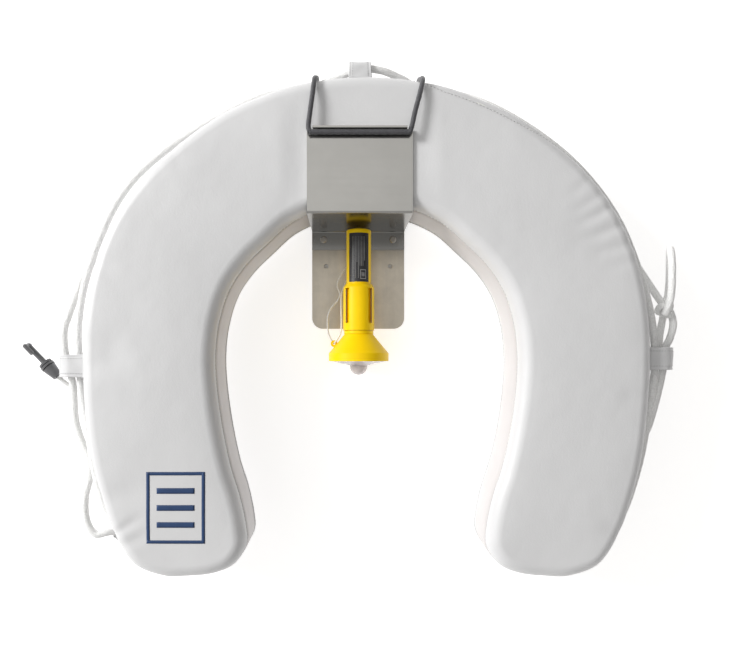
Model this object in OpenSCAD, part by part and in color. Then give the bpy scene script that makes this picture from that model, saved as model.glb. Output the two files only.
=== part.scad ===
// Horseshoe lifebuoy hung on its wall bracket, with an inverting lifebuoy light clipped below the shelf.
// Millimetres, +Z up, the front looks along -Y. The origin is the centre of the four wall screws,
// on the back plate's rear face.

/* [Bracket] */
// Width of the stainless bracket
bracket_w = 112; // [100:1:112]
// Sheet thickness of the bracket
sheet_t = 2; // [1.5:0.5:2]
// Depth between the back plate and the front plate
shelf_depth = 105; // [104:1:110]
// Height of the front plate above the shelf
front_h = 87; // [60:1:95]
// Spacing of the wall screws across the plate
hole_dx = 78; // [70:1:80]
// Spacing of the wall screws up the plate
hole_dz = 120; // [110:1:120]
// Diameter of the wall screw holes
hole_d = 5.5; // [4:0.5:6]

/* [Buoy] */
// Thickness of the buoy from front to back
buoy_t = 96; // [90:1:96]
// Radius of the rounded edges of the cover
edge_r = 15; // [8:1:16]
// Distance from each face to the seam round it
seam_inset = 20; // [18:1:26]
// Thickness of the coated fabric
cover_t = 1; // [0.6:0.1:1.2]
// How far the buoy hangs to one side of the bracket
buoy_x = 7.5; // [0:0.5:7.5]
// Diameter of the white ropes
rope_d = 8; // [6:0.5:8]

/* [Light] */
// Diameter of the battery tube
tube_d = 28.6; // [28:0.1:29]
// Widest diameter of the lamp head
bell_d = 69.6; // [60:0.2:70]
// Distance of the light's axis from the wall
light_y = 37; // [37:1:40]

/* [Hidden] */
$fn = 64;
clear = 0.3;
above_bottom = 402;
z0 = -above_bottom;

// Heights, measured from a level 402 below the wall screws' centre
plate_low = 266;
plate_high = 522;
shelf_top = 385.8;
screw_h = 374;
anchor_h = 496;

plate_corner_r = 13;
flange_h = 22;
cradle_screw_dx = 84;
back_gap = 8;
buoy_rear = -sheet_t - back_gap;
buoy_front = buoy_rear - buoy_t;
shelf_front = -sheet_t - shelf_depth;
lip_reach = 10;
lip_notch = 6.5;

// Light
tube_top = 379;
clip_top = 316;
clip_low = 262.5;
clip_d = 36;
neck_r = 17.1;
bell_top = 261;
bell_wide_top = 236;
bell_low = 227;
dome_r = 10.1;
dome_low = 211;
tube_wall = 1.1;
cell_d = 26;
cell_h = 44.5;
cell_low = 274;
ball_d = 4;
ball_travel = 4;
ball_x = 9;
board_h = 243;
board_t = 1.6;

retainer_d = 6;
lanyard_d = 2;
tab_plane = buoy_front + 34;
tab_w = 25;

// Right half of the buoy's outline, from the top centre round the arm to the inside top centre
half_outline = [
    [0, 533.5], [50.5, 529.5], [97.5, 519], [152.5, 495.5], [199, 464], [240, 426], [271.5, 382.5],
    [292, 334.5], [303, 282.5], [305.5, 230], [303.5, 177.5], [297, 125], [285, 78.5], [271, 40.5],
    [250, 9], [219, -4], [192, -4.5], [165.5, -1.5], [143.5, 8], [130.5, 27.5], [130.5, 48], [137, 80],
    [147, 112], [156, 153], [162, 195], [164, 232], [160, 268], [149, 303], [131, 331], [108, 354],
    [80, 378], [42, 394], [0, 399]
];
half_n = len(half_outline);
bottom_i = 16;
loop_points = concat(
    [for (i = [0 : half_n - 1]) half_outline[i]],
    [for (i = [half_n - 2 : -1 : 1]) [-half_outline[i][0], half_outline[i][1]]]
);

// Routes of the ropes on the buoy: x from its centre, y, height.
// Each ends in a straight run that a sewn sleeve holds.
grab_route = [
    [-275.5, -54, 36], [-286, -72, 60], [-294.5, -77, 87], [-301, -77, 113], [-306, -77, 146],
    [-314, -77, 192], [-317, -77, 232], [-317.5, -77, 266], [-311.5, -77, 308], [-298.5, -77, 350],
    [-280, -77, 393], [-256, -77, 428], [-222, -77, 459], [-180, -77, 487], [-134, -77, 511],
    [-95, -70, 526.8], [-62, -64, 533], [-36, -70, 541.5], [-7, -77, 549], [16, -77, 548], [38, -70, 542.5],
    [62, -64, 533], [95, -68, 526.5], [134, -77, 510.5], [180, -77, 485], [222, -77, 453],
    [256, -77, 416], [281, -77, 377], [299, -77, 333], [312, -77, 290], [318, -77, 250],
    [318, -77, 212], [311, -77, 165], [301, -77, 113], [286, -72, 60], [275.5, -54, 36]
];
closing_route = [
    [-266.5, -58, 20], [-278, -70, 36], [-286, -77, 38], [-297, -79, 36.5], [-305, -79, 45],
    [-309.5, -78, 60], [-310, -76, 78], [-307, -72, 98], [-309, -69, 117], [-318, -67, 138],
    [-324.5, -68, 162], [-326, -70, 196], [-328.2, -72, 213], [-333.2, -72, 232], [-335.5, -72, 250],
    [-335.2, -71, 264], [-330, -70, 281], [-322, -69, 304], [-315, -66, 325], [-303, -60, 346],
    [-290.5, -53, 360], [-277.5, -42, 386]
];
hook_route = [
    [-310, -62, 248], [-310, -62, 218], [-312, -61, 206], [-318, -60, 198.5], [-327, -61, 197],
    [-336, -64, 201.5], [-344.5, -67, 210]
];
eye_route = [
    [277.5, -42, 386], [290.5, -53, 360], [300, -62, 342], [309, -67, 325], [320, -70, 306],
    [329.5, -72, 291], [337.5, -72, 283], [341.5, -72, 269], [338, -72, 253], [332, -72, 240],
    [330, -72, 218], [324, -71, 188], [315.5, -68, 154], [306, -63, 130], [302, -62, 114],
    [294.5, -50, 86]
];
eye_loop_route = [
    [329.5, -63.5, 224], [330, -63.5, 250], [332.5, -63.5, 268], [338, -61, 288], [343, -57.5, 305],
    [345, -56, 322], [344.5, -57.5, 336], [342, -63, 347], [338.5, -71, 351.5], [335.5, -79, 348],
    [334, -84.5, 336], [333.6, -85.5, 320], [333.6, -84, 303], [332, -81.5, 289], [327, -80.5, 277]
];

// Route of the elastic retaining cord, from lug to lug over the buoy and under the lip
retainer_route = [
    [-50, -5.3, 503], [-50, -5.8, 518], [-49, -11, 530], [-48, -24, 536], [-47.5, -45, 541],
    [-47.5, -64, 544.2], [-47.5, -80, 538.6], [-47.5, -90, 534], [-47.8, -98, 531.3], [-48.2, -108, 524.5],
    [-49.8, -113, 508], [-52.4, -115, 488], [-54, -115, 473], [-51.6, -115, 467.8], [-45, -115, 467.5],
    [45, -115, 467.5], [51.6, -115, 467.8], [54.2, -115, 473], [57.5, -115, 488], [62.8, -113, 508],
    [66.3, -108, 523], [67.2, -98, 530.6], [67.5, -90, 532.6], [67.5, -80, 536.5], [67.5, -64, 542.8],
    [66.5, -45, 540], [64, -24, 535], [59, -11, 529], [53, -5.8, 518], [50, -5.3, 503]
];

// Route of the light's lanyard: x and y from the light's axis, height
lanyard_route = [
    [-28.6, 2.5, 247.2], [-31.5, 4, 251], [-35, 6, 258], [-36.4, 8, 268], [-36, 10, 280],
    [-32, 11, 290], [-25, 12, 298], [-22, 12, 306], [-25, 12, 316], [-22.5, 12, 325],
    [-16.5, 14, 335], [-11.5, 17.5, 340], [-9.6, 18.5, 335], [-11.5, 17.5, 327], [-16.5, 13, 317],
    [-20, 8, 306], [-20.5, 5, 294], [-20.2, 3, 276], [-20.6, 0, 262], [-24, -2, 253.5],
    [-28.6, -2.5, 247.2]
];

// ---- Curves ----

function unit(v) = v / norm(v);

function spline_point(a, b, c, d, t) =
    0.5 * (2 * b + (c - a) * t + (2 * a - 5 * b + 4 * c - d) * t * t
        + (3 * b - a - 3 * c + d) * t * t * t);

// Closed smooth curve through p, with two points for each given one
function closed_spline(p) = let (n = len(p)) [
    for (i = [0 : n - 1]) for (t = [0, 0.5])
        spline_point(p[(i + n - 1) % n], p[i], p[(i + 1) % n], p[(i + 2) % n], t)
];

outline = closed_spline(loop_points);
outline_n = len(outline);

// Outward normal of the outline at point i, which runs clockwise
function outline_normal(i) =
    let (d = unit(outline[(i + 1) % outline_n] - outline[(i + outline_n - 1) % outline_n]))
    [-d[1], d[0]];

function inset_outline(inset) =
    [for (i = [0 : outline_n - 1]) outline[i] - inset * outline_normal(i)];

// Unit tangents along an open route
function tangents(p) = let (n = len(p)) [
    for (i = [0 : n - 1]) unit(p[min(i + 1, n - 1)] - p[max(i - 1, 0)])
];

function start_normal(t) = unit(abs(t[0]) < 0.9 ? cross(t, [1, 0, 0]) : cross(t, [0, 0, 1]));

// Normals carried along a route without twist
function carried_normals(t) = [
    for (i = 0, n = start_normal(t[0]); i < len(t);
         i = i + 1, n = unit(n - (n * t[min(i, len(t) - 1)]) * t[min(i, len(t) - 1)])) n
];

// Round tube along a route, as one polyhedron with flat ends
module tube(route, d, sides = 10) {
    t = tangents(route);
    n = carried_normals(t);
    last = len(route) - 1;
    points = [
        for (i = [0 : last]) for (k = [0 : sides - 1])
            route[i] + d / 2 * (cos(360 * k / sides) * n[i] + sin(360 * k / sides) * cross(t[i], n[i]))
    ];
    walls = [
        for (i = [0 : last - 1]) for (k = [0 : sides - 1])
            let (a = i * sides + k, b = i * sides + (k + 1) % sides)
            each [[a, a + sides, b + sides], [a, b + sides, b]]
    ];
    first_cap = [for (k = [0 : sides - 1]) k];
    last_cap = [for (k = [sides - 1 : -1 : 0]) last * sides + k];
    polyhedron(points, concat([first_cap], walls, [last_cap]), convexity = 6);
}

// ---- Shapes shared by several parts ----

module on_buoy() {
    translate([buoy_x, 0, z0]) children();
}

module on_light() {
    translate([0, -light_y, z0]) children();
}

// Upright cylinder between two heights
module post(low, high, r) {
    translate([0, 0, low]) cylinder(h = high - low, r = r);
}

// Hole or shaft along Y between two places
module along_y(x, y_low, y_high, h, r) {
    translate([x, y_high, h]) rotate([90, 0, 0]) cylinder(h = y_high - y_low, r = r);
}

// Flat face of the horseshoe, cut across its arms into one strip for each pair of outline points
quarter = outline_n / 4;
face_strips = [
    for (start = [0, 2 * quarter]) for (i = [0 : quarter - 1])
        let (a = start + i, d = (start + 2 * quarter - i) % outline_n, c = start + 2 * quarter - i - 1)
        i == quarter - 1 ? [a, a + 1, d] : [a, a + 1, c, d]
];

// Solid through a stack of outlines, each given as [y, inset], from the front to the rear
module horseshoe_loft(stack) {
    last = len(stack) - 1;
    points = [
        for (s = stack) let (ring = inset_outline(s[1]))
            for (p = ring) [p[0], s[0], p[1]]
    ];
    walls = [
        for (j = [0 : last - 1]) for (i = [0 : outline_n - 1])
            let (k = (i + 1) % outline_n)
            [j * outline_n + i, (j + 1) * outline_n + i, (j + 1) * outline_n + k, j * outline_n + k]
    ];
    rear = [for (f = face_strips) [for (i = [len(f) - 1 : -1 : 0]) last * outline_n + f[i]]];
    polyhedron(points, concat(face_strips, walls, rear), convexity = 8);
}

// Rounded edge as a stack: face at y_face, going along dir, with radius r inside an extra inset
function rounded_stack(y_face, dir, r, extra) = [
    for (a = [0, 22.5, 45, 67.5, 90]) [y_face + dir * r * (1 - cos(a)), extra + r * (1 - sin(a))]
];

function reversed(list) = [for (i = [len(list) - 1 : -1 : 0]) list[i]];

// Cup of coated fabric that wraps one face of the buoy as far as its seam
module cover_cup() {
    seam = buoy_front + seam_inset;
    difference() {
        horseshoe_loft(concat(rounded_stack(buoy_front, 1, edge_r, 0), [[seam, 0]]));
        horseshoe_loft(concat(
            rounded_stack(buoy_front + cover_t, 1, edge_r - cover_t, cover_t),
            [[seam + 1, cover_t]]
        ));
    }
}

// Half of the foam core, from its rounded face to the glue line at mid thickness
module foam_half() {
    skin = cover_t + clear;
    middle = buoy_front + buoy_t / 2;
    horseshoe_loft(concat(
        rounded_stack(buoy_front + skin, 1, edge_r - skin, skin),
        [[middle, skin]]
    ));
}

module mirrored_front_to_back() {
    translate([0, 2 * buoy_front + buoy_t, 0]) mirror([0, 1, 0]) children();
}

// Strip of coated fabric between the seams, from outline point a to point b
module gusset(a, b) {
    inside = inset_outline(cover_t);
    strip = concat(
        [for (i = [a : b]) outline[i % outline_n]],
        [for (i = [b : -1 : a]) inside[i % outline_n]]
    );
    translate([0, buoy_rear - seam_inset, 0]) rotate([90, 0, 0])
        linear_extrude(height = buoy_t - 2 * seam_inset) polygon(strip);
}

// Loop of strip that stands out from the wall along +X and holds the ropes
module tab(reach) {
    strip_t = 1.5;
    foot = 5;
    r = 17;
    linear_extrude(height = tab_w, center = true) {
        difference() {
            union() {
                translate([reach - r, 0]) circle(r = r);
                translate([0, -r]) square([reach - r, 2 * r]);
            }
            translate([reach - r, 0]) circle(r = r - strip_t);
            translate([-1, strip_t - r]) square([reach - r + 1, 2 * (r - strip_t)]);
            translate([-r, -r]) square([r, 2 * r]);
        }
        for (side = [-1, 1])
            translate([0, side * (r + foot / 2 - 0.5) - (foot + 1) / 2]) square([strip_t, foot + 1]);
    }
}

// Puts its children at p, with their +Z towards q
module aimed(p, q) {
    u = unit(q - p);
    translate(p) rotate([0, acos(u[2]), atan2(u[1], u[0])]) children();
}

// ---- Bracket ----

module back_plate() {
    color([0.64, 0.61, 0.55]) translate([0, 0, z0]) difference() {
        rotate([90, 0, 0]) linear_extrude(height = sheet_t) union() {
            translate([-bracket_w / 2, plate_low + plate_corner_r])
                square([bracket_w, plate_high - plate_low - 2 * plate_corner_r]);
            translate([-bracket_w / 2 + plate_corner_r, plate_low])
                square([bracket_w - 2 * plate_corner_r, plate_high - plate_low]);
            for (x = [-1, 1]) for (h = [plate_low + plate_corner_r, plate_high - plate_corner_r])
                translate([x * (bracket_w / 2 - plate_corner_r), h]) circle(r = plate_corner_r);
        }
        for (x = [-1, 1]) for (z = [-1, 1])
            along_y(x * hole_dx / 2, -sheet_t - 1, 1, above_bottom + z * hole_dz / 2, hole_d / 2);
        for (x = [-1, 1]) {
            along_y(x * cradle_screw_dx / 2, -sheet_t - 1, 1, screw_h, 2);
            along_y(x * 44, -sheet_t - 1, 1, anchor_h, 2);
        }
        for (h = [304, 275]) translate([0, 0, h]) rotate([90, 0, 0]) {
            translate([0, 0, -1]) cylinder(h = sheet_t + 2, r = 2);
            cylinder(h = sheet_t, r1 = 4, r2 = 2);
        }
    }
}

// Side profile of the cradle, y against height: flange, shelf, front plate and lip
module cradle_profile() {
    t = sheet_t;
    bend = 3;
    under = shelf_top - t;
    translate([-2 * t, shelf_top - flange_h - t]) square([t, flange_h + t - bend]);
    translate([shelf_front - t + bend, under]) square([shelf_depth - bend - 1, t]);
    translate([shelf_front - t, under + bend]) square([t, front_h - bend]);
    translate([shelf_front - t - lip_reach, under + front_h]) square([lip_reach, t]);
    translate([shelf_front - t, under + front_h]) intersection() {
        circle(r = t);
        square(t);
    }
    translate([-t - bend, shelf_top - bend]) bend_ring(bend) square(bend);
    translate([shelf_front - t + bend, under + bend]) bend_ring(bend) translate([-bend, -bend]) square(bend);
}

// Sheet bent round a quarter, cut from its ring by a square
module bend_ring(bend) {
    intersection() {
        difference() {
            circle(r = bend);
            circle(r = bend - sheet_t);
        }
        children();
    }
}

module cradle() {
    color([0.7, 0.69, 0.66]) translate([0, 0, z0]) difference() {
        translate([-bracket_w / 2, 0, 0]) rotate([90, 0, 90])
            linear_extrude(height = bracket_w) cradle_profile();
        for (x = [-1, 1]) {
            along_y(x * cradle_screw_dx / 2, -3 * sheet_t, 0, screw_h, 2);
            translate([x * bracket_w / 2, shelf_front - sheet_t - lip_reach, shelf_top + front_h])
                cube([2 * lip_notch, 2 * lip_reach, 20], center = true);
        }
    }
}

// Cross-recess pan head screws that hold the cradle's flange to the plate
module cradle_screws() {
    head_r = 4;
    head_h = 2.2;
    slot = 1;
    color("silver") for (x = [-1, 1]) translate([x * cradle_screw_dx / 2, 0, screw_h + z0]) {
        rotate([90, 0, 0]) difference() {
            union() {
                cylinder(h = 2 * sheet_t, r = 2);
                translate([0, 0, 2 * sheet_t]) cylinder(h = head_h - 0.8, r = head_r);
                translate([0, 0, 2 * sheet_t + head_h - 0.8]) cylinder(h = 0.8, r1 = head_r, r2 = head_r - 1);
            }
            for (a = [0, 90]) rotate([0, 0, a])
                translate([-2.4, -slot / 2, 2 * sheet_t + head_h - 1.4]) cube([4.8, slot, 2]);
        }
    }
}

// Elastic cord that holds the buoy in, looped under the lip of the cradle
module retaining_cord() {
    color([0.1, 0.1, 0.11]) translate([0, 0, z0]) tube(retainer_route, retainer_d);
}

// Stainless lugs crimped on the cord's two ends
module cord_lugs() {
    color("silver") for (x = [-1, 1]) translate([0, 0, z0]) {
        difference() {
            union() {
                along_y(x * 44, -sheet_t - 1, -sheet_t, anchor_h, 5);
                translate([x * 47 - 4.5, -sheet_t - 1, anchor_h - 1]) cube([9, 1, 8]);
            }
            along_y(x * 44, -sheet_t - 2, -sheet_t + 1, anchor_h, 2);
        }
        translate([x * 50 - 3.2, -sheet_t - 6.4, anchor_h + 4]) cube([6.4, 6.4, 5.5]);
    }
}

module lug_rivets() {
    color("silver") for (x = [-1, 1]) translate([x * 44, 0, anchor_h + z0]) rotate([90, 0, 0]) {
        cylinder(h = sheet_t + 1, r = 2);
        translate([0, 0, sheet_t + 1]) cylinder(h = 1.4, r1 = 3.6, r2 = 2.4);
    }
}

// Yellow plastic clip: slotted sleeve round the battery tube on a web that stands off the plate
module light_clip() {
    bore_r = tube_d / 2 + 0.25;
    slot_w = 4.2;
    slot_x = 13;
    web_w = 14;
    color([0.95, 0.8, 0]) on_light() difference() {
        union() {
            post(clip_low, clip_top - 4, clip_d / 2);
            translate([0, 0, clip_top - 4]) cylinder(h = 4, r1 = clip_d / 2, r2 = clip_d / 2 - 2.5);
            translate([-web_w / 2, 10, clip_low + 4])
                cube([web_w, light_y - 10 - sheet_t, clip_top - clip_low - 8]);
        }
        post(clip_low - 1, clip_top + 1, bore_r);
        for (x = [-1, 1])
            translate([x * slot_x - slot_w / 2, -clip_d, 271]) cube([slot_w, 2 * clip_d, 40]);
        for (h = [304, 275]) along_y(0, light_y - sheet_t - 14, light_y, h, 1.6);
    }
}

// Countersunk screws through the plate into the clip's web
module clip_screws() {
    color("silver") for (h = [304, 275]) translate([0, 0, h + z0]) rotate([90, 0, 0]) {
        cylinder(h = sheet_t, r1 = 4, r2 = 2);
        cylinder(h = sheet_t + 12, r = 1.6);
    }
}

// ---- Buoy ----

module foam_front() {
    color([0.85, 0.85, 0.8]) on_buoy() foam_half();
}

module foam_rear() {
    color([0.8, 0.8, 0.76]) on_buoy() mirrored_front_to_back() foam_half();
}

module cover_front() {
    color([0.93, 0.93, 0.94]) on_buoy() cover_cup();
}

module cover_rear() {
    color([0.9, 0.9, 0.92]) on_buoy() mirrored_front_to_back() cover_cup();
}

module outer_gusset() {
    color([0.9, 0.9, 0.93]) on_buoy() gusset(outline_n - 2 * bottom_i, outline_n + 2 * bottom_i);
}

module inner_gusset() {
    color([0.8, 0.78, 0.78]) on_buoy() gusset(2 * bottom_i, outline_n - 2 * bottom_i);
}

module tab_top() {
    color([0.9, 0.9, 0.9]) on_buoy() translate([-6.8, tab_plane, 533.6])
        rotate([0, -90, 0]) tab(25);
}

module tab_left() {
    color([0.9, 0.9, 0.9]) on_buoy() translate([-305.6, tab_plane, 222])
        rotate([0, 0, 180]) tab(34);
}

module tab_right() {
    color([0.9, 0.9, 0.9]) on_buoy() translate([305.6, tab_plane, 230]) tab(34);
}

// Fabric sleeves sewn on the gussets, which hold the straight ends of the ropes
module rope_sleeves() {
    color([0.9, 0.9, 0.9]) on_buoy() {
        for (route = [grab_route, closing_route, eye_route])
            for (ends = [[route[0], route[1]], [route[len(route) - 1], route[len(route) - 2]]])
                aimed(ends[0], ends[1]) sleeve(rope_d);
        aimed(hook_route[0], hook_route[1]) sleeve(5);
    }
}

// Sleeve round the end of a rope, closed behind it
module sleeve(d) {
    wall = 1.6;
    sleeve_l = 24;
    translate([0, 0, -2]) difference() {
        cylinder(h = sleeve_l, r = d / 2 + clear + wall);
        translate([0, 0, 1.9]) cylinder(h = sleeve_l, r = d / 2 + clear);
    }
}

module grab_line() {
    color("white") on_buoy() tube(grab_route, rope_d);
}

module closing_line() {
    color("white") on_buoy() tube(closing_route, rope_d);
}

module hook_line() {
    color("white") on_buoy() tube(hook_route, 5, 8);
}

// Frame of the hook: origin at the mouth of its ferrule, +X along the hook
module at_hook() {
    on_buoy() translate(hook_route[len(hook_route) - 1]) rotate([0, -134, 0]) children();
}

// Grey ferrule on the hook's line, wider towards the hook, with two ribs
module hook_ferrule() {
    color([0.4, 0.4, 0.42]) at_hook() rotate([0, 90, 0]) difference() {
        union() {
            cylinder(h = 14, r1 = 5.2, r2 = 7.6);
            cylinder(h = 21, r = 5);
            translate([0, 0, 15]) cylinder(h = 2.6, r = 8);
            translate([0, 0, 18.6]) cylinder(h = 2.4, r = 7.4);
        }
        translate([0, 0, -1]) cylinder(h = 5, r = 2.7);
    }
}

// Grey moulded hook, a rod with a round tip and a short return
module cord_hook() {
    rod_end = 47;
    color([0.35, 0.35, 0.37]) at_hook() {
        translate([21, 0, 0]) rotate([0, 90, 0]) cylinder(h = rod_end - 21, r = 3.1);
        translate([rod_end, 0, 0]) sphere(r = 3.6);
        translate([rod_end, 0, 0]) rotate([90, 0, 0]) cylinder(h = 9, r = 2.4);
        translate([rod_end, -9, 0]) rotate([0, -90, 0]) cylinder(h = 12, r = 2.4);
        translate([rod_end, -9, 0]) sphere(r = 2.4);
    }
}

module eye_line() {
    color("white") on_buoy() tube(eye_route, rope_d);
}

// Closed outer shape of the knot in the eye line: two wraps of rope round a core
module eye_knot() {
    wrap_r = 4;
    color("white") on_buoy() translate([331, -74.5, 285]) rotate([0, -38, 0]) {
        for (side = [-1, 1]) translate([0, 0, side * 3.4])
            rotate_extrude() translate([4.6, 0]) circle(r = wrap_r);
        cylinder(h = 14, r = 6, center = true);
    }
}

module eye_loop() {
    color("white") on_buoy() tube(eye_loop_route, rope_d);
}

// Blank printed panel for the boat's name
module name_panel() {
    panel_w = 62;
    panel_h = 76;
    bar_h = 6;
    print_t = 0.3;
    color([0.1, 0.2, 0.4]) on_buoy() translate([-202.5, buoy_front, 72]) rotate([90, 0, 0])
        linear_extrude(height = print_t) {
            difference() {
                square([panel_w, panel_h], center = true);
                square([panel_w - 7, panel_h - 7], center = true);
            }
            for (i = [-1, 0, 1]) translate([0, i * 18]) square([panel_w - 22, bar_h], center = true);
        }
}

// ---- Light ----

module light_tube() {
    color([0.95, 0.8, 0]) on_light() difference() {
        union() {
            post(bell_top + 1, tube_top - 4, tube_d / 2);
            post(bell_top - 8, bell_top + 1, tube_d / 2 - 1);
        }
        post(bell_top - 9, tube_top - 3, tube_d / 2 - tube_wall);
    }
}

module tube_cap() {
    color([0.95, 0.8, 0]) on_light() {
        post(tube_top - 4, tube_top - 1, tube_d / 2);
        translate([0, 0, tube_top - 1]) cylinder(h = 1, r1 = tube_d / 2, r2 = tube_d / 2 - 1);
        difference() {
            post(tube_top - 11, tube_top - 4, tube_d / 2 - tube_wall - 0.05);
            post(tube_top - 12, tube_top - 6, tube_d / 2 - tube_wall - 2);
            translate([0, 0, tube_top - 7]) rotate_extrude()
                translate([tube_d / 2 - tube_wall - 0.05, 0]) circle(r = 1.05);
        }
    }
}

module cap_seal() {
    color([0.1, 0.1, 0.1]) on_light() translate([0, 0, tube_top - 7]) rotate_extrude()
        translate([tube_d / 2 - tube_wall - 1.05, 0]) circle(r = 0.95);
}

// Printed label wrapped on the front of the tube
module light_label() {
    label_angle = 100;
    color([0.1, 0.1, 0.1]) on_light() translate([0, 0, clip_top + 2])
        rotate([0, 0, -90 - label_angle / 2]) rotate_extrude(angle = label_angle)
            translate([tube_d / 2, 0]) square([0.2, 56]);
}

module battery_cells() {
    nub_h = 1.5;
    pitch = cell_h + nub_h + 0.2;
    color([0.2, 0.3, 0.5]) on_light() for (i = [0, 1]) {
        post(cell_low + i * pitch, cell_low + i * pitch + cell_h, cell_d / 2);
        post(cell_low + i * pitch + cell_h, cell_low + i * pitch + cell_h + nub_h, 3);
    }
}

// Contact spring between the last cell and the circuit board, wider at the cell
module contact_spring() {
    turns = 6;
    per_turn = 10;
    wire_d = 0.9;
    low = board_h + board_t + wire_d / 2 + 0.1;
    high = cell_low - wire_d / 2 - 0.1;
    coil = [
        for (i = [0 : turns * per_turn])
            let (s = i / (turns * per_turn), r = 3.5 + 6.5 * s * s)
            [r * cos(360 * i / per_turn), r * sin(360 * i / per_turn), low + (high - low) * s]
    ];
    color("silver") on_light() tube(coil, wire_d, 8);
}

// Lamp head: neck that grips the tube and the bell that holds the lens
module lamp_head() {
    wall = 2;
    seat_r = bell_d / 2 - wall;
    color([0.95, 0.8, 0]) on_light() difference() {
        union() {
            post(bell_top - 2.5, bell_top + 1, neck_r);
            translate([0, 0, bell_wide_top])
                cylinder(h = bell_top - 2.5 - bell_wide_top, r1 = bell_d / 2, r2 = neck_r - 0.8);
            post(bell_low, bell_wide_top, bell_d / 2);
        }
        post(bell_top - 8, bell_top + 2, tube_d / 2 + clear - 1);
        post(bell_top, bell_top + 2, tube_d / 2 + clear);
        translate([0, 0, bell_wide_top + 1]) cylinder(h = 12, r1 = seat_r - 2, r2 = 18);
        post(bell_top - 14, bell_top - 6, tube_d / 2 + clear - 1);
        post(bell_low - 1, bell_wide_top + 1.01, seat_r);
    }
}

module head_seal() {
    color([0.1, 0.1, 0.1]) on_light() difference() {
        post(231.5, 233, bell_d / 2 - 2.3);
        post(231, 234, bell_d / 2 - 5);
    }
}

module reflector() {
    color("silver") on_light() difference() {
        translate([0, 0, 233.2]) cylinder(h = 7, r1 = 30, r2 = 9);
        translate([0, 0, 232.5]) cylinder(h = 6.7, r1 = 29, r2 = 8);
        post(233, 245, 4.2);
    }
}

module circuit_board() {
    color([0.1, 0.4, 0.2]) on_light() difference() {
        post(board_h, board_h + board_t, 17);
        post(board_h - 1, board_h + board_t + 1, 1);
    }
}

module led() {
    led_r = 2.6;
    led_low = 237;
    color([0.9, 0.9, 0.95]) on_light() {
        post(led_low, board_h - 0.1, led_r);
        translate([0, 0, led_low]) sphere(r = led_r);
    }
}

// Closed tube of the tilt switch, which the ball runs in
module tilt_switch() {
    low = board_h + board_t + 0.1;
    wall = 1;
    slack = 0.4;
    inside_h = ball_d + ball_travel + 0.6;
    color([0.7, 0.7, 0.7]) on_light() translate([ball_x, 0, 0]) difference() {
        post(low, low + inside_h + 2 * wall, ball_d / 2 + slack + 0.9);
        post(low + wall, low + wall + inside_h, ball_d / 2 + slack);
    }
}

module tilt_ball() {
    rest_gap = 0.3;
    color("gold") on_light()
        translate([ball_x, 0, board_h + board_t + 1.1 + rest_gap + ball_d / 2]) sphere(r = ball_d / 2);
}

// Clear lens: a flat cone with the dome in its middle
module lens() {
    cone_h = 5.5;
    rim_h = 4;
    r = bell_d / 2 - 2.2;
    color([0.95, 0.85, 0.8, 0.6]) on_light() difference() {
        union() {
            post(bell_low, bell_low + rim_h, r);
            translate([0, 0, bell_low - cone_h]) cylinder(h = cone_h, r1 = dome_r, r2 = r);
            post(dome_low + dome_r, bell_low, dome_r);
            translate([0, 0, dome_low + dome_r]) sphere(r = dome_r);
        }
        translate([0, 0, bell_low - cone_h + 2]) cylinder(h = cone_h, r1 = dome_r - 2, r2 = r - 3);
        post(bell_low - 0.5 + cone_h - 3.5, bell_low + rim_h + 1, r - 3);
        post(dome_low + dome_r, bell_low, dome_r - 2);
        translate([0, 0, dome_low + dome_r]) sphere(r = dome_r - 2);
    }
}

// Moulded eye at the bell's shoulder for the lanyard
module lanyard_eye() {
    color([0.95, 0.8, 0]) on_light() translate([-28.6, 0, 247.2]) difference() {
        rotate([90, 0, 0]) cylinder(h = 3, r = 4, center = true);
        rotate([90, 0, 0]) cylinder(h = 4, r = 1.4, center = true);
    }
}

module light_lanyard() {
    color([0.85, 0.85, 0.8]) on_light() tube(lanyard_route, lanyard_d, 8);
}

back_plate();
cradle();
cradle_screws();
retaining_cord();
cord_lugs();
lug_rivets();
light_clip();
clip_screws();
foam_front();
foam_rear();
cover_front();
cover_rear();
outer_gusset();
inner_gusset();
tab_top();
tab_left();
tab_right();
rope_sleeves();
grab_line();
closing_line();
hook_line();
hook_ferrule();
cord_hook();
eye_line();
eye_knot();
eye_loop();
name_panel();
light_tube();
tube_cap();
cap_seal();
light_label();
battery_cells();
contact_spring();
lamp_head();
head_seal();
reflector();
circuit_board();
led();
tilt_switch();
tilt_ball();
lens();
lanyard_eye();
light_lanyard();
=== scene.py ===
# Looks of the horseshoe lifebuoy, its wall bracket and its light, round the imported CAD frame.
import math

import bpy
import numpy as np
from mathutils import Matrix, Vector
from mathutils.bvhtree import BVHTree


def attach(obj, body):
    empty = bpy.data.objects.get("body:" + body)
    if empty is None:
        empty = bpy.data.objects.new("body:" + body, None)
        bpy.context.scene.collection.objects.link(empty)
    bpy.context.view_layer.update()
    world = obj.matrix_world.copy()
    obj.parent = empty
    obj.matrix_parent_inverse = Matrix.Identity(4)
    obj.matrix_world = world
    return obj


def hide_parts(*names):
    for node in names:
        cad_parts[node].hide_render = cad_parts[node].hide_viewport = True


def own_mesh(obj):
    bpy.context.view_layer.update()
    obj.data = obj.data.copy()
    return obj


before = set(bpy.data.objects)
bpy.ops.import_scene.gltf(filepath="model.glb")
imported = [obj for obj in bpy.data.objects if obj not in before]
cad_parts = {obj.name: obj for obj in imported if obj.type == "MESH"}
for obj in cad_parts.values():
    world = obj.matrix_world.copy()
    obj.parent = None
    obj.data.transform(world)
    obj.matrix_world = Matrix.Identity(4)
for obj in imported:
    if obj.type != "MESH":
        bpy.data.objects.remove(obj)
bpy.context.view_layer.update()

MM = 0.001

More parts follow.
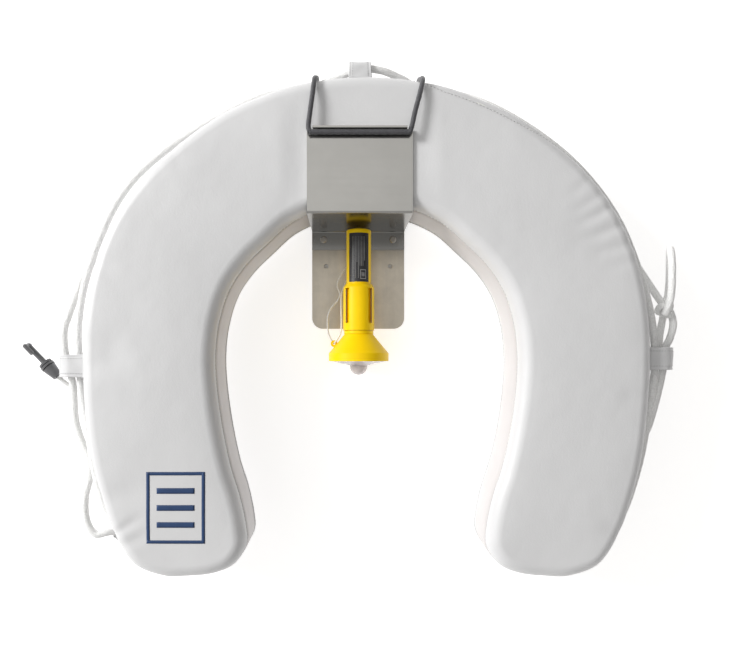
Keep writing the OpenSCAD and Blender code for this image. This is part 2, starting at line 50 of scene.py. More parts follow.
# Places that the CAD model gives, in millimetres
BUOY_X = 7.5
BOTTOM = -402.0
FRONT_Y = -106.0
REAR_Y = -10.0
EDGE_R = 15.0
SEAM = 20.0
LIGHT_Y = -37.0
ROPE_D = 8.0


def on_buoy(points):
    """Points given as x from the buoy's centre, y, and height above its lowest point, in metres."""
    return (np.array(points, float) + (BUOY_X, 0, BOTTOM)) * MM


def on_bracket(points):
    return (np.array(points, float) + (0, 0, BOTTOM)) * MM


def on_light(points):
    return (np.array(points, float) + (0, LIGHT_Y, BOTTOM)) * MM


# ---- Camera ----

EYE = (-13.6, -809.0, 231.7 + BOTTOM)  # level with the horseshoe's middle, a little left of the bracket
FOCAL_PX = 663.0
FRAME_W = 750.0
SENSOR = 36.0

camera_data = bpy.data.cameras.new("camera")
camera_data.sensor_width = SENSOR
camera_data.lens = SENSOR * FOCAL_PX / FRAME_W
camera_data.shift_x = 28.0 / FRAME_W
camera_data.shift_y = 33.5 / FRAME_W
camera_data.clip_start = 0.01
camera = bpy.data.objects.new("camera", camera_data)
camera.location = Vector(EYE) * MM
camera.rotation_euler = (math.radians(90), 0, 0)
bpy.context.collection.objects.link(camera)
bpy.context.scene.camera = camera


# ---- Node materials ----

class Nodes:
    """A material's node tree, with short ways to add and join nodes."""

    def __init__(self, name, color, roughness, metallic=0.0):
        self.material = bpy.data.materials.new(name)
        self.material.use_nodes = True
        self.tree = self.material.node_tree
        self.shader = self.tree.nodes["Principled BSDF"]
        self.set(**{"Base Color": (*color, 1.0), "Roughness": roughness, "Metallic": metallic})
        self.coordinates = self.add("ShaderNodeTexCoord").outputs["Object"]

    def set(self, **values):
        for name, value in values.items():
            self.shader.inputs[name].default_value = value

    def add(self, kind, **values):
        node = self.tree.nodes.new(kind)
        for name, value in values.items():
            if name in node.inputs:
                node.inputs[name].default_value = value
            else:
                setattr(node, name, value)
        return node

    def join(self, out, into):
        self.tree.links.new(out, into)

    def scaled(self, scale, source=None):
        """Object coordinates times a scale per axis."""
        node = self.add("ShaderNodeMapping")
        node.inputs["Scale"].default_value = scale
        self.join(source or self.coordinates, node.inputs["Vector"])
        return node.outputs["Vector"]

    def noise(self, scale, detail=3.0, stretch=None, rough=0.5):
        node = self.add("ShaderNodeTexNoise", Scale=scale, Detail=detail, Roughness=rough)
        self.join(self.scaled(stretch) if stretch else self.coordinates, node.inputs["Vector"])
        return node.outputs["Fac"]

    def cells(self, scale, stretch=None):
        node = self.add("ShaderNodeTexVoronoi", Scale=scale)
        self.join(self.scaled(stretch) if stretch else self.coordinates, node.inputs["Vector"])
        return node.outputs["Distance"]

    def ramp(self, source, low, high, colors):
        """Colour that goes from one to another as source goes from low to high."""
        node = self.add("ShaderNodeValToRGB")
        for element, place, color in zip(node.color_ramp.elements, (low, high), colors):
            element.position = place
            element.color = (*color, 1.0)
        self.join(source, node.inputs["Fac"])
        return node.outputs["Color"]

    def span(self, source, low, high):
        """source, from 0 to 1, carried to low to high."""
        node = self.add("ShaderNodeMapRange")
        node.inputs["To Min"].default_value = low
        node.inputs["To Max"].default_value = high
        self.join(source, node.inputs["Value"])
        return node.outputs["Result"]

    def math(self, operation, a, b):
        node = self.add("ShaderNodeMath", operation=operation)
        for k, value in enumerate((a, b)):
            if isinstance(value, (int, float)):
                node.inputs[k].default_value = value
            else:
                self.join(value, node.inputs[k])
        return node.outputs["Value"]

    def painted_shade_by_height(self, source, darkest_at, unshaded_at, share):
        """Painted shade: the colour, carried to a share of itself as the height in metres goes from the
        unshaded height to the darkest one.
        """
        split = self.add("ShaderNodeSeparateXYZ")
        self.join(self.coordinates, split.inputs["Vector"])
        span = self.add("ShaderNodeMapRange")
        limits = {"From Min": darkest_at, "From Max": unshaded_at, "To Min": share, "To Max": 1.0}
        for name, value in limits.items():
            span.inputs[name].default_value = value
        self.join(split.outputs["Z"], span.inputs["Value"])
        scale = self.add("ShaderNodeVectorMath", operation="SCALE")
        self.join(source, scale.inputs[0])
        self.join(span.outputs["Result"], scale.inputs["Scale"])
        return scale.outputs["Vector"]

    def color(self, source):
        self.join(source, self.shader.inputs["Base Color"])

    def roughness(self, source, low, high):
        self.join(self.span(source, low, high), self.shader.inputs["Roughness"])

    def bump(self, *layers):
        """Bump from (height, distance in metres) layers, one on the other."""
        normal = None
        for height, distance in layers:
            node = self.add("ShaderNodeBump", Distance=distance)
            self.join(height, node.inputs["Height"])
            if normal:
                self.join(normal, node.inputs["Normal"])
            normal = node.outputs["Normal"]
        self.join(normal, self.shader.inputs["Normal"])


def white_vinyl(name="white_vinyl", tone=(0.655, 0.655, 0.66)):
    m = Nodes(name, tone, 0.42)
    m.set(**{"Coat Weight": 0.12, "Coat Roughness": 0.3, "Specular IOR Level": 0.45})
    darker = tuple(c * 0.955 for c in tone)
    m.color(m.ramp(m.noise(9.0, 5.0), 0.35, 0.7, (darker, tone)))
    m.roughness(m.noise(40.0, 4.0), 0.34, 0.52)
    m.bump((m.cells(1500.0), 0.00006), (m.noise(420.0, 4.0), 0.00012), (m.noise(28.0, 2.0), 0.0006))
    return m.material


def rope_fibre():
    m = Nodes("rope_fibre", (0.86, 0.86, 0.85), 0.7)
    m.set(**{"Sheen Weight": 0.25})
    m.color(m.ramp(m.noise(700.0, 3.0), 0.3, 0.7, ((0.74, 0.74, 0.73), (0.90, 0.90, 0.89))))
    m.bump((m.noise(2600.0, 2.0), 0.0002))
    return m.material


def yellow_plastic():
    m = Nodes("yellow_plastic", (1.0, 0.66, 0.0), 0.36)
    m.color(m.ramp(m.noise(30.0, 3.0), 0.3, 0.75, ((0.96, 0.62, 0.0), (1.0, 0.68, 0.0))))
    m.roughness(m.noise(160.0, 4.0), 0.28, 0.46)
    m.set(**{"Specular IOR Level": 0.22})
    m.bump((m.noise(900.0, 3.0), 0.00005))
    return m.material


def brushed_steel(name, tone, stretch, low, high, clouding, shade_by_height):
    """Sheet steel with its brushing along the axis that stretch keeps short, cloudy handling marks, and painted
    shade near
    the shelf: the steel is painted darker there for the shelf's shadow and the reflection of its dark
    underside. The last argument gives (height where darkest, height where unshaded, share of the tone)."""
    m = Nodes(name, tone, 0.34, metallic=1.0)
    lines = m.noise(60.0, 5.0, stretch=stretch, rough=0.65)
    clouds = m.noise(34.0, 6.0, rough=0.7)
    mixed = m.math("ADD", m.math("MULTIPLY", lines, 0.4), m.math("MULTIPLY", clouds, 0.6))
    m.color(m.painted_shade_by_height(m.ramp(mixed, 0.34, 0.66, (tuple(c * clouding for c in tone), tone)), *shade_by_height))
    m.roughness(mixed, low, high)
    m.set(**{"Anisotropic": 0.4})
    m.bump((lines, 0.00004), (m.cells(900.0), 0.00001))
    return m.material


def plain_metal(name, tone, rough):
    m = Nodes(name, tone, rough, metallic=1.0)
    m.roughness(m.noise(500.0, 3.0), rough * 0.8, rough * 1.3)
    m.bump((m.noise(1500.0, 2.0), 0.00002))
    return m.material


def moulded(name, tone, rough, grain=0.00008):
    m = Nodes(name, tone, rough)
    lighter = tuple(min(c * 1.25 + 0.004, 1.0) for c in tone)
    m.color(m.ramp(m.noise(120.0, 4.0), 0.3, 0.75, (tone, lighter)))
    m.roughness(m.noise(300.0, 3.0), rough * 0.85, min(rough * 1.2, 1.0))
    m.bump((m.noise(1800.0, 2.0), grain))
    return m.material


def elastic_braid():
    m = Nodes("elastic_braid", (0.035, 0.035, 0.04), 0.6)
    m.set(**{"Sheen Weight": 0.3})
    m.color(m.ramp(m.cells(900.0), 0.1, 0.6, ((0.02, 0.02, 0.022), (0.07, 0.07, 0.078))))
    m.bump((m.cells(1100.0), 0.0003))
    return m.material


def clear_plastic():
    m = Nodes("clear_plastic", (0.93, 0.86, 0.83), 0.12)
    m.set(**{"Transmission Weight": 0.55, "IOR": 1.49})
    m.roughness(m.noise(90.0, 3.0), 0.08, 0.2)
    m.bump((m.noise(250.0, 2.0), 0.00006))
    return m.material


# ---- Mesh helpers ----

def link(name, mesh, body, material, replaces=(), smooth=True):
    """A new piece from a mesh, riding on a body, material and the CAD nodes it stands for."""
    piece = bpy.data.objects.new(name, mesh)
    bpy.context.collection.objects.link(piece)
    if material:
        mesh.materials.append(material)
    if smooth:
        mesh.polygons.foreach_set("use_smooth", [True] * len(mesh.polygons))
    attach(piece, body)
    if replaces:
        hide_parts(*replaces)
    return piece


def mesh_from(name, verts, faces):
    mesh = bpy.data.meshes.new(name)
    mesh.from_pydata([tuple(v) for v in verts], [], [tuple(f) for f in faces])
    mesh.validate()
    mesh.update()
    return mesh


def spline_through(points, per=24):
    """Smooth open curve through the points, as CAD draws its closed outline."""
    p = np.array(points, float)
    ends = np.vstack([2 * p[0] - p[1], p, 2 * p[-1] - p[-2]])
    out = []
    for i in range(1, len(ends) - 2):
        a, b, c, d = ends[i - 1 : i + 3]
        for k in range(per):
            t = k / per
            out.append(0.5 * (2 * b + (c - a) * t + (2 * a - 5 * b + 4 * c - d) * t * t
                              + (3 * b - a - 3 * c + d) * t ** 3))
    out.append(p[-1])
    return np.array(out)


def resampled(curve, count):
    """The curve's points moved to count + 1 places evenly spaced along it."""
    steps = np.linalg.norm(np.diff(curve, axis=0), axis=1)
    along = np.concatenate([[0], np.cumsum(steps)])
    places = np.linspace(0, along[-1], count + 1)
    return np.column_stack([np.interp(places, along, curve[:, k]) for k in range(curve.shape[1])])


def length_of(curve):
    return float(np.linalg.norm(np.diff(curve, axis=0), axis=1).sum())


def carried_frames(path):
    """Tangents, normals and binormals along a path, carried without twist."""
    tangents = np.gradient(path, axis=0)
    tangents /= np.linalg.norm(tangents, axis=1)[:, None]
    start = np.cross(tangents[0], (1, 0, 0) if abs(tangents[0][0]) < 0.9 else (0, 0, 1))
    normals = [start / np.linalg.norm(start)]
    for t in tangents[1:]:
        n = normals[-1] - normals[-1].dot(t) * t
        normals.append(n / np.linalg.norm(n))
    normals = np.array(normals)
    return tangents, normals, np.cross(tangents, normals)


def tube_mesh(name, path, radius, sides=20, profile=None):
    """Round tube along a path in metres; profile(angle, distance) is the radius's share of its nominal size."""
    _, normals, binormals = carried_frames(path)
    along = np.concatenate([[0], np.cumsum(np.linalg.norm(np.diff(path, axis=0), axis=1))])
    verts, faces = [], []
    for i, centre in enumerate(path):
        for k in range(sides):
            angle = 2 * math.pi * k / sides
            r = radius * (profile(angle, along[i]) if profile else 1.0)
            verts.append(centre + r * (math.cos(angle) * normals[i] + math.sin(angle) * binormals[i]))
    for i in range(len(path) - 1):
        for k in range(sides):
            k2 = (k + 1) % sides
            faces.append((i * sides + k, (i + 1) * sides + k, (i + 1) * sides + k2, i * sides + k2))
    faces.append(tuple(range(sides)))
    faces.append(tuple((len(path) - 1) * sides + k for k in reversed(range(sides))))
    return mesh_from(name, verts, faces)


def braid(turn_length, depth, strands=4):
    """Radius profile of a braided rope: two sets of strands that wind opposite ways."""
    def profile(angle, distance):
        phase = 2 * math.pi * distance / turn_length
        one = math.cos(strands * angle + phase)
        other = math.cos(strands * angle - phase)
        return 1.0 - depth + depth * max(one, other)
    return profile


# ---- Cords: routes repeated from the CAD source ----

GRAB_ROUTE = [
    (-275.5, -54, 36), (-286, -72, 60), (-294.5, -77, 87), (-301, -77, 113), (-306, -77, 146),
    (-314, -77, 192), (-317, -77, 232), (-317.5, -77, 266), (-311.5, -77, 308), (-298.5, -77, 350),
    (-280, -77, 393), (-256, -77, 428), (-222, -77, 459), (-180, -77, 487), (-134, -77, 511),
    (-95, -70, 526.8), (-62, -64, 533), (-36, -70, 541.5), (-7, -77, 549), (16, -77, 548), (38, -70, 542.5),
    (62, -64, 533), (95, -68, 526.5), (134, -77, 510.5), (180, -77, 485), (222, -77, 453),
    (256, -77, 416), (281, -77, 377), (299, -77, 333), (312, -77, 290), (318, -77, 250),
    (318, -77, 212), (311, -77, 165), (301, -77, 113), (286, -72, 60), (275.5, -54, 36),
]
CLOSING_ROUTE = [
    (-266.5, -58, 20), (-278, -70, 36), (-286, -77, 38), (-297, -79, 36.5), (-305, -79, 45),
    (-309.5, -78, 60), (-310, -76, 78), (-307, -72, 98), (-309, -69, 117), (-318, -67, 138),
    (-324.5, -68, 162), (-326, -70, 196), (-328.2, -72, 213), (-333.2, -72, 232), (-335.5, -72, 250),
    (-335.2, -71, 264), (-330, -70, 281), (-322, -69, 304), (-315, -66, 325), (-303, -60, 346),
    (-290.5, -53, 360), (-277.5, -42, 386),
]
HOOK_ROUTE = [
    (-310, -62, 248), (-310, -62, 218), (-312, -61, 206), (-318, -60, 198.5), (-327, -61, 197),
    (-336, -64, 201.5), (-344.5, -67, 210),
]
EYE_ROUTE = [
    (277.5, -42, 386), (290.5, -53, 360), (300, -62, 342), (309, -67, 325), (320, -70, 306),
    (329.5, -72, 291), (337.5, -72, 283), (341.5, -72, 269), (338, -72, 253), (332, -72, 240),
    (330, -72, 218), (324, -71, 188), (315.5, -68, 154), (306, -63, 130), (302, -62, 114),
    (294.5, -50, 86),
]
EYE_LOOP_ROUTE = [
    (329.5, -63.5, 224), (330, -63.5, 250), (332.5, -63.5, 268), (338, -61, 288), (343, -57.5, 305),
    (345, -56, 322), (344.5, -57.5, 336), (342, -63, 347), (338.5, -71, 351.5), (335.5, -79, 348),
    (334, -84.5, 336), (333.6, -85.5, 320), (333.6, -84, 303), (332, -81.5, 289), (327, -80.5, 277),
]
RETAINER_ROUTE = [
    (-50, -5.3, 503), (-50, -5.8, 518), (-49, -11, 530), (-48, -24, 536), (-47.5, -45, 541),
    (-47.5, -64, 544.2), (-47.5, -80, 538.6), (-47.5, -90, 534), (-47.8, -98, 531.3), (-48.2, -108, 524.5),
    (-49.8, -113, 508), (-52.4, -115, 488), (-54, -115, 473), (-51.6, -115, 467.8), (-45, -115, 467.5),
    (45, -115, 467.5), (51.6, -115, 467.8), (54.2, -115, 473), (57.5, -115, 488), (62.8, -113, 508),
    (66.3, -108, 523), (67.2, -98, 530.6), (67.5, -90, 532.6), (67.5, -80, 536.5), (67.5, -64, 542.8),
    (66.5, -45, 540), (64, -24, 535), (59, -11, 529), (53, -5.8, 518), (50, -5.3, 503),
]
LANYARD_ROUTE = [
    (-28.6, 2.5, 247.2), (-31.5, 4, 251), (-35, 6, 258), (-36.4, 8, 268), (-36, 10, 280),
    (-32, 11, 290), (-25, 12, 298), (-22, 12, 306), (-25, 12, 316), (-22.5, 12, 325),
    (-16.5, 14, 335), (-11.5, 17.5, 340), (-9.6, 18.5, 335), (-11.5, 17.5, 327), (-16.5, 13, 317),
    (-20, 8, 306), (-20.5, 5, 294), (-20.2, 3, 276), (-20.6, 0, 262), (-24, -2, 253.5),
    (-28.6, -2.5, 247.2),
]

ROPE_STEP = 0.0012


def cord_path(points, step):
    curve = spline_through(points)
    return resampled(curve, max(8, round(length_of(curve) / step)))


fibre = rope_fibre()
vinyl = white_vinyl()
tab_vinyl = white_vinyl("tab_vinyl", (0.63, 0.63, 0.635))
yellow = yellow_plastic()


def rope(name, points, diameter, replaces, turn_length=0.016, sides=32, material=fibre,
         body="buoy"):
    path = cord_path(points, ROPE_STEP)
    mesh = tube_mesh(name, path, diameter / 2 * MM, sides, braid(turn_length, 0.05, 8))
    return link(name, mesh, body, material, replaces), path


grab_line, _ = rope("grab_rope", on_buoy(GRAB_ROUTE), ROPE_D, ("grab_line",))
closing_line, closing_path = rope("closing_rope", on_buoy(CLOSING_ROUTE), ROPE_D, ("closing_line",))
hook_cord, hook_path = rope("hook_cord", on_buoy(HOOK_ROUTE), 5.0, ("hook_line",), 0.011, 32)
eye_line, eye_path = rope("eye_rope", on_buoy(EYE_ROUTE), ROPE_D, ("eye_line",))
eye_loop, eye_loop_path = rope("eye_bight", on_buoy(EYE_LOOP_ROUTE), ROPE_D, ("eye_loop",))
lanyard, lanyard_path = rope("lanyard_cord", on_light(LANYARD_ROUTE), 2.0, ("light_lanyard",), 0.005, 16,
                             body="light")


def overhand_knot():
    """Trefoil of rope pulled tight, where the eye's loop is tied in its line."""
    turns = np.linspace(0, 2 * math.pi, 90)[:-1]
    path = np.column_stack([
        (np.sin(turns) + 2 * np.sin(2 * turns)) * 2.5,
        -np.sin(3 * turns) * 3.0,
        (np.cos(turns) - 2 * np.cos(2 * turns)) * 2.7,
    ])
    tilt = Matrix.Rotation(math.radians(-38), 3, "Y")
    path = np.array([tilt @ Vector(p) for p in path]) + (331, -74.5, 285)
    path = np.vstack([path, path[0]])
    curve = resampled(on_buoy(path), 140)
    return link("eye_knot_rope", tube_mesh("eye_knot_rope", curve, 0.0037, 32, braid(0.016, 0.05, 8)), "buoy",
                fibre, ("eye_knot",))


eye_knot = overhand_knot()


def retaining_cord():
    path = resampled(spline_through(on_bracket(RETAINER_ROUTE)), 460)
    mesh = tube_mesh("shock_cord", path, 0.0027, 16, braid(0.008, 0.03, 6))
    return link("shock_cord", mesh, "bracket", elastic_braid(), ("retaining_cord",))


shock_cord = retaining_cord()


# ---- Fabric cover ----

HALF_OUTLINE = [
    (0, 533.5), (50.5, 529.5), (97.5, 519), (152.5, 495.5), (199, 464), (240, 426), (271.5, 382.5),
    (292, 334.5), (303, 282.5), (305.5, 230), (303.5, 177.5), (297, 125), (285, 78.5), (271, 40.5),
    (250, 9), (219, -4), (192, -4.5), (165.5, -1.5), (143.5, 8), (130.5, 27.5), (130.5, 48), (137, 80),
    (147, 112), (156, 153), (162, 195), (164, 232), (160, 268), (149, 303), (131, 331), (108, 354),
    (80, 378), (42, 394), (0, 399),
]
ALONG = 420  # quads along each side of the horseshoe
ACROSS = 40  # quads across an arm
PER_POINT = 40  # curve samples between outline points
OUTER_CORNER = 14.4  # places of an arm end's corners, counted in outline points from the top centre
INNER_CORNER = 18.6


def closed_outline():
    """The horseshoe's outline as one dense closed curve, clockwise from the outside top centre."""
    loop = HALF_OUTLINE + [(-x, z) for x, z in HALF_OUTLINE[-2:0:-1]]
    p = np.array(loop, float)
    out = []
    for i in range(len(p)):
        a, b, c, d = (p[(i + k) % len(p)] for k in (-1, 0, 1, 2))
        for k in range(PER_POINT):
            t = k / PER_POINT
            out.append(0.5 * (2 * b + (c - a) * t + (2 * a - 5 * b + 4 * c - d) * t * t
                              + (3 * b - a - 3 * c + d) * t ** 3))
    return np.array(out)


def stretch_of(curve, start, end, count):
    """Evenly spaced points of the closed curve between two places counted in outline points."""
    wanted = np.arange(round(start * PER_POINT), round(end * PER_POINT) + 1) % len(curve)
    return resampled(curve[wanted], count)


def outline_ring():
    """Outline points in order: outer side from left to right, right end, inner side, left end."""
    curve = closed_outline()
    full = len(curve) / PER_POINT
    parts = [
        stretch_of(curve, -OUTER_CORNER, OUTER_CORNER, ALONG),
        stretch_of(curve, OUTER_CORNER, INNER_CORNER, ACROSS),
        stretch_of(curve, INNER_CORNER, full - INNER_CORNER, ALONG),
        stretch_of(curve, full - INNER_CORNER, full - OUTER_CORNER, ACROSS),
    ]
    return np.vstack([p[:-1] for p in parts])


RING = outline_ring()
COUNT = len(RING)


def ring_normals():
    d = np.roll(RING, -2, axis=0) - np.roll(RING, 2, axis=0)
    n = np.column_stack([-d[:, 1], d[:, 0]])
    n /= np.linalg.norm(n, axis=1)[:, None]
    for _ in range(6):
        n = (np.roll(n, 1, axis=0) + 2 * n + np.roll(n, -1, axis=0)) / 4
    return n / np.linalg.norm(n, axis=1)[:, None]


NORMALS = ring_normals()
STEPS = np.linalg.norm(np.roll(RING, -1, axis=0) - RING, axis=1)
ARC = np.concatenate([[0], np.cumsum(STEPS)[:-1]])
ROUND = STEPS.sum()


def smooth_step(x):
    x = np.clip(x, 0, 1)
    return x * x * (3 - 2 * x)


def waves(rng, count, shortest, longest, dims):
    """Random directions, wave numbers and phases for a sum of sines."""
    directions = rng.normal(size=(count, dims))
    directions /= np.linalg.norm(directions, axis=1)[:, None]
    lengths = np.exp(rng.uniform(math.log(shortest), math.log(longest), count))
    return directions * (2 * math.pi / lengths)[:, None], rng.uniform(0, 2 * math.pi, count)


def sum_of_waves(points, spec):
    k, phase = spec
    return np.sin(points @ k.T + phase).sum(axis=1) / math.sqrt(len(phase))


RNG = np.random.default_rng(7)
SLACK = waves(RNG, 10, 70, 190, 3)
FINE = waves(RNG, 14, 16, 44, 3)
GATHER = [(2 * math.pi * n / ROUND, RNG.uniform(0, 2 * math.pi)) for n in (171, 213, 247, 289, 331)]

# Folds that run in from the outer edge of the front: where each starts on the face (x, height), its heading
# in degrees, its length, its depth and its width
FOLDS = [
    (242, 400, 216, 42, 0.6, 4.0), (254, 388, 210, 52, 0.9, 4.2), (264, 369, 202, 54, 1.0, 4.4),
    (273, 350, 195, 48, 0.7, 4.6), (279, 332, 190, 38, 0.45, 4.4), (230, 416, 222, 32, 0.4, 4.2),
    (-286, 246, -4, 40, 0.9, 11.0), (-286, 226, 6, 46, 1.1, 12.0), (-266, 84, 14, 52, 0.9, 12.0),
    (-258, 50, 34, 30, 1.1, 3.8), (-248, 36, 30, 22, 0.6, 5.0), (-282, 330, -22, 26, 0.5, 7.0),
    (262, 46, 158, 26, 0.5, 8.0), (288, 190, 176, 26, 0.5, 8.0), (-205, 448, -46, 24, 0.4, 6.0),
]
FOLD_REACH_Y = 24.0
BRACKET_HALF = 62.0
BRACKET_FADE = 26.0


def bracket_fade(x, height):
    """0 on the crown where the bracket touches it, 1 well away."""
    beside = smooth_step((np.abs(x + BUOY_X) - BRACKET_HALF) / BRACKET_FADE)
    below = smooth_step((372 - height) / BRACKET_FADE)
    return np.maximum(beside, below)


def fold_depth(x, height):
    """How far the folds press the front in, with a soft lip on each side of each one."""
    total = np.zeros(len(x))
    for fx, fz, heading, long, deep, wide in FOLDS:
        ux, uz = math.cos(math.radians(heading)), math.sin(math.radians(heading))
        along = (x - fx) * ux + (height - fz) * uz
        off = -(x - fx) * uz + (height - fz) * ux
        bend = off + 0.0022 * along ** 2
        fade = smooth_step((along + 26) / 24) * (1 - smooth_step((along - 0.25 * long) / (0.75 * long)))
        spread = wide * (1 + np.clip(along, 0, None) / (1.4 * long))
        s = bend / spread
        total += deep * fade * (np.exp(-s * s) - 0.2 * np.exp(-((np.abs(s) - 1.9) ** 2)))
    return total


def displace(points, normals, seam_gap, arc, crown):
    """Cover points moved along their normals, in millimetres: slack, grooves, gathers, folds and crown."""
    x, y, height = points.T
    fade = bracket_fade(x, height)
    front_share = smooth_step((FRONT_Y + FOLD_REACH_Y - y) / 10)
    amount = 0.3 * sum_of_waves(points, SLACK) + 0.035 * sum_of_waves(points, FINE)
    gather = sum(np.sin(k * arc + p) for k, p in GATHER) / len(GATHER)
    amount += 0.22 * gather * np.exp(-np.abs(seam_gap) / 8.0)
    amount += crown - fold_depth(x, height) * front_share
    amount = amount * fade
    amount -= 1.5 * np.exp(-(seam_gap / 2.2) ** 2)
    return points + normals * amount[:, None]


ARC_L = EDGE_R * math.pi / 2
SEAM_S = ARC_L + SEAM - EDGE_R  # the seam's distance round the edge from where the face turns
SEAM_ON_FACE = 8.0  # the same where the cover has rolled forward, on the crown's right shoulder


def section(s):
    """(y, inset, front share of the normal) at distances s round the edge and back along the wall."""
    a = np.clip(s / EDGE_R, 0, math.pi / 2)
    y = FRONT_Y + EDGE_R * (1 - np.cos(a)) + np.maximum(0, s - ARC_L)
    return y, EDGE_R * (1 - np.sin(a)), np.cos(a)


def rolled_seam():
    """The front seam's distance round the edge at every ring place."""
    x, height = RING.T
    rolled = smooth_step((x - 20) / 70) * smooth_step((262 - x) / 110) * (height > 410) * (NORMALS[:, 1] > 0)
    return SEAM_S + (SEAM_ON_FACE - SEAM_S) * rolled


FRONT_SEAM = rolled_seam()
REAR_SEAM = np.full(COUNT, SEAM_S)


def ring_points(s):
    """Cover points and outward normals at distances s round the front edge, one for each ring place."""
    y, inset, share = section(np.broadcast_to(s, (COUNT,)).astype(float))
    flat = RING - NORMALS * inset[:, None]
    wall_share = np.sqrt(np.clip(1 - share ** 2, 0, 1))
    return (np.column_stack([flat[:, 0], y, flat[:, 1]]),
            np.column_stack([NORMALS[:, 0] * wall_share, -share, NORMALS[:, 1] * wall_share]))


def face_grid():
    """The flat face inside its rounded edge, as (ALONG + 1) by (ACROSS + 1) points."""
    ring = RING - NORMALS * EDGE_R
    outer = ring[: ALONG + 1]
    right = ring[ALONG : ALONG + ACROSS + 1]
    inner = ring[ALONG + ACROSS : 2 * ALONG + ACROSS + 1][::-1]
    left = np.vstack([ring[2 * ALONG + ACROSS :], ring[:1]])[::-1]
    u = np.linspace(0, 1, ALONG + 1)[:, None, None]
    v = np.linspace(0, 1, ACROSS + 1)[None, :, None]
    grid = (1 - v) * outer[:, None] + v * inner[:, None]
    for end, corner_a, corner_b, weight in (
        (left, outer[0], inner[0], np.clip(1 - u / 0.16, 0, 1) ** 2),
        (right, outer[-1], inner[-1], np.clip(1 - (1 - u) / 0.16, 0, 1) ** 2),
    ):
        w = np.linspace(0, 1, ACROSS + 1)[:, None]
        bulge = end - ((1 - w) * corner_a + w * corner_b)
        grid = grid + weight * bulge[None]
    return grid


GRID = face_grid()
CROWN = 1.6


def mirror_to_rear(points):
    out = points.copy()
    out[:, 1] = FRONT_Y + REAR_Y - out[:, 1]
    return out


def cup_mesh(name, seam, rear=False):
    """Front or rear panel: the face, its rounded edge and the wall as far as its gusset."""
    verts, faces = [], []
    grid = GRID.reshape(-1, 2)
    points = np.column_stack([grid[:, 0], np.full(len(grid), FRONT_Y), grid[:, 1]])
    normals = np.tile((0.0, -1.0, 0.0), (len(grid), 1))
    v = np.linspace(0, 1, ACROSS + 1)
    u = np.linspace(0, 1, ALONG + 1)
    ends = smooth_step(np.minimum(u, 1 - u) / 0.06)
    crown = (CROWN * np.outer(ends, (4 * v * (1 - v)) ** 0.8)).ravel()
    verts.append(displace(points, normals, np.full(len(points), 60.0), np.zeros(len(points)), crown))
    place = np.arange(len(grid)).reshape(ALONG + 1, ACROSS + 1)
    for i in range(ALONG):
        for k in range(ACROSS):
            faces.append((place[i, k], place[i, k + 1], place[i + 1, k + 1], place[i + 1, k]))
    above = np.concatenate([place[:-1, 0], place[-1, :-1], place[:0:-1, -1], place[0, :0:-1]])
    for s in np.linspace(0, SEAM_S, 21)[1:]:
        p, n = ring_points(s)
        start = sum(len(block) for block in verts)
        verts.append(displace(p, n, seam - s, ARC, np.zeros(COUNT)))
        here = np.arange(start, start + COUNT)
        for k in range(COUNT):
            k2 = (k + 1) % COUNT
            faces.append((above[k], above[k2], here[k2], here[k]))
        above = here
    points = np.vstack(verts)
    if rear:
        points = mirror_to_rear(points)
        faces = [f[::-1] for f in faces]
    return mesh_from(name, on_buoy(points), faces)


GUSSET_BULGE = 1.0


def gusset_mesh(name, first, last):
    """Wall strip between the panels, from one ring place to another, bulging a little between the seams."""
    places = np.arange(first, last + 1) % COUNT
    width = REAR_Y - FRONT_Y - 2 * SEAM
    rows = 26
    verts, faces = [], []
    for j in range(rows + 1):
        t = j / rows
        p, n = ring_points(SEAM_S + width * t)
        gap = np.minimum(SEAM_S + width * t - FRONT_SEAM, width * (1 - t) + SEAM_S - REAR_SEAM)
        crown = np.full(COUNT, GUSSET_BULGE * (4 * t * (1 - t)) ** 0.7)
        verts.append(displace(p, n, gap, ARC, crown)[places])
    m = len(places)
    for j in range(rows):
        for k in range(m - 1):
            a = j * m + k
            faces.append((a, a + 1, a + m + 1, a + m))
    return mesh_from(name, on_buoy(np.vstack(verts)), faces)


def stitch_mesh(name, rows, pitch=4.0, length=2.9, radius=0.42):
    """Rows of separate thread stitches; each row is (points, normals) in millimetres in the frame."""
    verts, faces = [], []
    sides = 6
    for points, normals in rows:
        along = np.concatenate([[0], np.cumsum(np.linalg.norm(np.diff(points, axis=0), axis=1))])
        for k in range(int(along[-1] / pitch)):
            places = k * pitch + np.array([0.0, 0.2, 0.8, 1.0]) * length
            centres = np.column_stack([np.interp(places, along, points[:, c]) for c in range(3)])
            up = np.array([np.interp(places[1], along, normals[:, c]) for c in range(3)])
            ahead = centres[-1] - centres[0]
            ahead /= np.linalg.norm(ahead)
            up /= np.linalg.norm(up)
            across = np.cross(ahead, up)
            start = len(verts)
            for centre, size, lift in zip(centres, (0.45, 1.0, 1.0, 0.45), (-0.25, 0.12, 0.12, -0.25)):
                for c in range(sides):
                    angle = 2 * math.pi * c / sides
                    spoke = math.cos(angle) * across + math.sin(angle) * up
                    verts.append(centre + up * lift + radius * size * spoke)
            for ring in range(3):
                for c in range(sides):
                    a, b = start + ring * sides + c, start + ring * sides + (c + 1) % sides
                    faces.append((a, b, b + sides, a + sides))
            faces.append(tuple(start + c for c in reversed(range(sides))))
            faces.append(tuple(start + 3 * sides + c for c in range(sides)))
    return mesh_from(name, np.array(verts) * MM, faces)


STITCH_GAP = 3.0


def seam_row(seam, rear):
    """Row of stitches on the panel's side of a seam, all round."""
    p, n = ring_points(seam - STITCH_GAP)
    p = displace(p, n, np.full(COUNT, STITCH_GAP), ARC, np.zeros(COUNT))
    if rear:
        p, n = mirror_to_rear(p), n * (1, -1, 1)
    p, n = np.vstack([p, p[:1]]), np.vstack([n, n[:1]])
    return on_buoy(p) / MM, n


